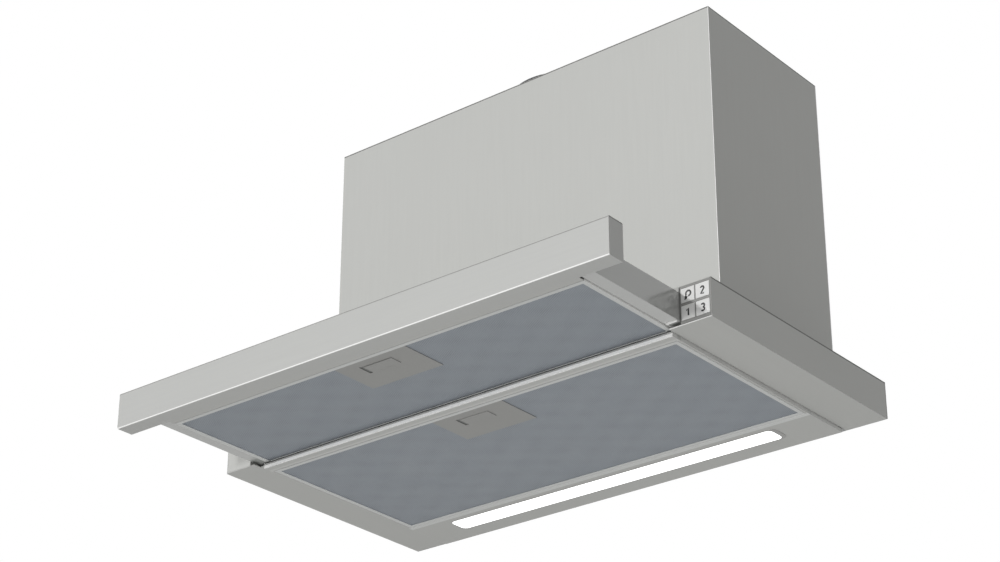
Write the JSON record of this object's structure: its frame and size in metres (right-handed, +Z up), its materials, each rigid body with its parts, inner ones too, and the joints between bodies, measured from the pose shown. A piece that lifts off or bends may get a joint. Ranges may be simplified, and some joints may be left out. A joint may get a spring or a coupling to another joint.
{
  "type": "pull-out range hood",
  "caption": "Cabinet-mounted cooker hood with a sliding front drawer, grease filters, lamp strip, push buttons, fan and duct collar.",
  "frame": {"origin": "centre of the four cabinet fixing holes, on the top face of the fixed body, which is also the middle of the casing's footprint", "axes": "+X to the right seen from the front, +Y towards the wall, +Z up out of the casing; the drawer pulls out along -Y"},
  "size_m": [0.598, 0.4483, 0.419],
  "materials": {
    "casing_steel": "satin light grey, slightly metallic",
    "body_steel": "satin light grey, slightly metallic",
    "back_steel": "bare galvanised sheet",
    "bar_metal": "satin light grey, fine brushed",
    "bezel_plastic": "matte grey",
    "button_plastic": "off-white, half gloss",
    "circuit_board": "green lacquer",
    "lamp_cover": "opal, lit",
    "dark_plastic": "dark grey moulded",
    "zinc_steel": "zinc plated",
    "filter_frame": "satin",
    "filter_mesh": "fine expanded mesh",
    "latch_metal": "satin",
    "rubber": "black",
    "white_plastic": "white moulded"
  },
  "bodies": {
    "hood": {"side_panel_left": "body_steel", "side_panel_right": "body_steel", "top_plate": "body_steel", "back_panel": "back_steel", "underside_panel": "body_steel", "front_blank": "body_steel", "button_bezel": "bezel_plastic", "switch_board": "circuit_board", "light_cover": "lamp_cover", "light_housing": "dark_plastic", "light_board": "circuit_board", "body_rivets": "zinc_steel", "runner_bracket_left": "zinc_steel", "runner_bracket_right": "zinc_steel", "fixed_runner_left": "zinc_steel", "fixed_runner_right": "zinc_steel", "casing_wrap": "casing_steel", "casing_back": "back_steel", "casing_top": "casing_steel", "casing_screws": "zinc_steel", "outlet_collar": "dark_plastic", "fan_housing_left": "dark_plastic", "fan_housing_right": "dark_plastic", "motor": "zinc_steel", "motor_bracket": "zinc_steel", "rubber_mounts": "rubber", "capacitor": "white_plastic", "control_box": "white_plastic", "cable_gland": "dark_plastic"},
    "drawer": {"drawer_runner_left": "zinc_steel", "drawer_runner_right": "zinc_steel", "front_bar": "bar_metal", "bar_cap_left": "bar_metal", "bar_cap_right": "bar_metal", "drawer_side_left": "body_steel", "drawer_side_right": "body_steel", "drawer_cover": "body_steel", "drawer_front_rail": "body_steel", "drawer_rear_rail": "body_steel", "drawer_screws": "zinc_steel"},
    "ball_cages": {"ball_cages": "dark_plastic", "runner_balls": "zinc_steel"},
    "front_filter": {"front_filter_frame": "filter_frame", "front_filter_mesh": "filter_mesh", "front_latch_plate": "latch_metal", "front_latch_spring": "zinc_steel"},
    "front_latch": {"front_latch": "latch_metal"},
    "rear_filter": {"rear_filter_frame": "filter_frame", "rear_filter_mesh": "filter_mesh", "rear_latch_plate": "latch_metal", "rear_latch_spring": "zinc_steel"},
    "rear_latch": {"rear_latch": "latch_metal"},
    "light_button": {"light_button": "button_plastic"},
    "speed_button_1": {"speed_button_1": "button_plastic"},
    "speed_button_2": {"speed_button_2": "button_plastic"},
    "speed_button_3": {"speed_button_3": "button_plastic"},
    "front_flap": {"front_flap": "dark_plastic"},
    "rear_flap": {"rear_flap": "dark_plastic"},
    "fan": {"fan_wheel": "dark_plastic", "motor_shaft": "zinc_steel"}
  },
  "joints": [
    {"name": "drawer_slide", "type": "slide", "parent": "hood", "child": "drawer", "axis": [0, -1, 0], "range_m": [-0.13, 0]},
    {"name": "cage_slide", "type": "slide", "parent": "hood", "child": "ball_cages", "axis": [0, -1, 0], "range_m": [-0.065, 0]},
    {"name": "front_filter_tilt", "type": "hinge", "parent": "drawer", "child": "front_filter", "pos_m": [0, -0.1852, -0.0347], "axis": [1, 0, 0], "range_deg": [0, 10]},
    {"name": "front_latch_slide", "type": "slide", "parent": "front_filter", "child": "front_latch", "axis": [0, 1, 0], "range_m": [0, 0.004], "stiffness_N_per_m": 300, "deforming": ["front_latch_spring"]},
    {"name": "rear_filter_tilt", "type": "hinge", "parent": "hood", "child": "rear_filter", "pos_m": [0, 0.0313, -0.0415], "axis": [1, 0, 0], "range_deg": [0, 35]},
    {"name": "rear_latch_slide", "type": "slide", "parent": "rear_filter", "child": "rear_latch", "axis": [0, 1, 0], "range_m": [0, 0.004], "stiffness_N_per_m": 300, "deforming": ["rear_latch_spring"]},
    {"name": "light_button_press", "type": "slide", "parent": "hood", "child": "light_button", "axis": [0, 1, 0], "range_m": [0, 0.002], "stiffness_N_per_m": 400},
    {"name": "speed_button_1_press", "type": "slide", "parent": "hood", "child": "speed_button_1", "axis": [0, 1, 0], "range_m": [0, 0.002], "stiffness_N_per_m": 400},
    {"name": "speed_button_2_press", "type": "slide", "parent": "hood", "child": "speed_button_2", "axis": [0, 1, 0], "range_m": [0, 0.002], "stiffness_N_per_m": 400},
    {"name": "speed_button_3_press", "type": "slide", "parent": "hood", "child": "speed_button_3", "axis": [0, 1, 0], "range_m": [0, 0.002], "stiffness_N_per_m": 400},
    {"name": "front_flap_swing", "type": "hinge", "parent": "hood", "child": "front_flap", "pos_m": [0, -0.01717, 0.3593], "axis": [-1, 0, 0], "range_deg": [0, 75]},
    {"name": "rear_flap_swing", "type": "hinge", "parent": "hood", "child": "rear_flap", "pos_m": [0, -0.01117, 0.3593], "axis": [1, 0, 0], "range_deg": [0, 75]},
    {"name": "fan_spin", "type": "hinge", "parent": "hood", "child": "fan", "pos_m": [0, 0.00802, 0.13], "axis": [1, 0, 0], "continuous": true}
  ],
  "couplings": [
    {"joint": "cage_slide", "follows": "drawer_slide", "ratio": 0.5}
  ]
}
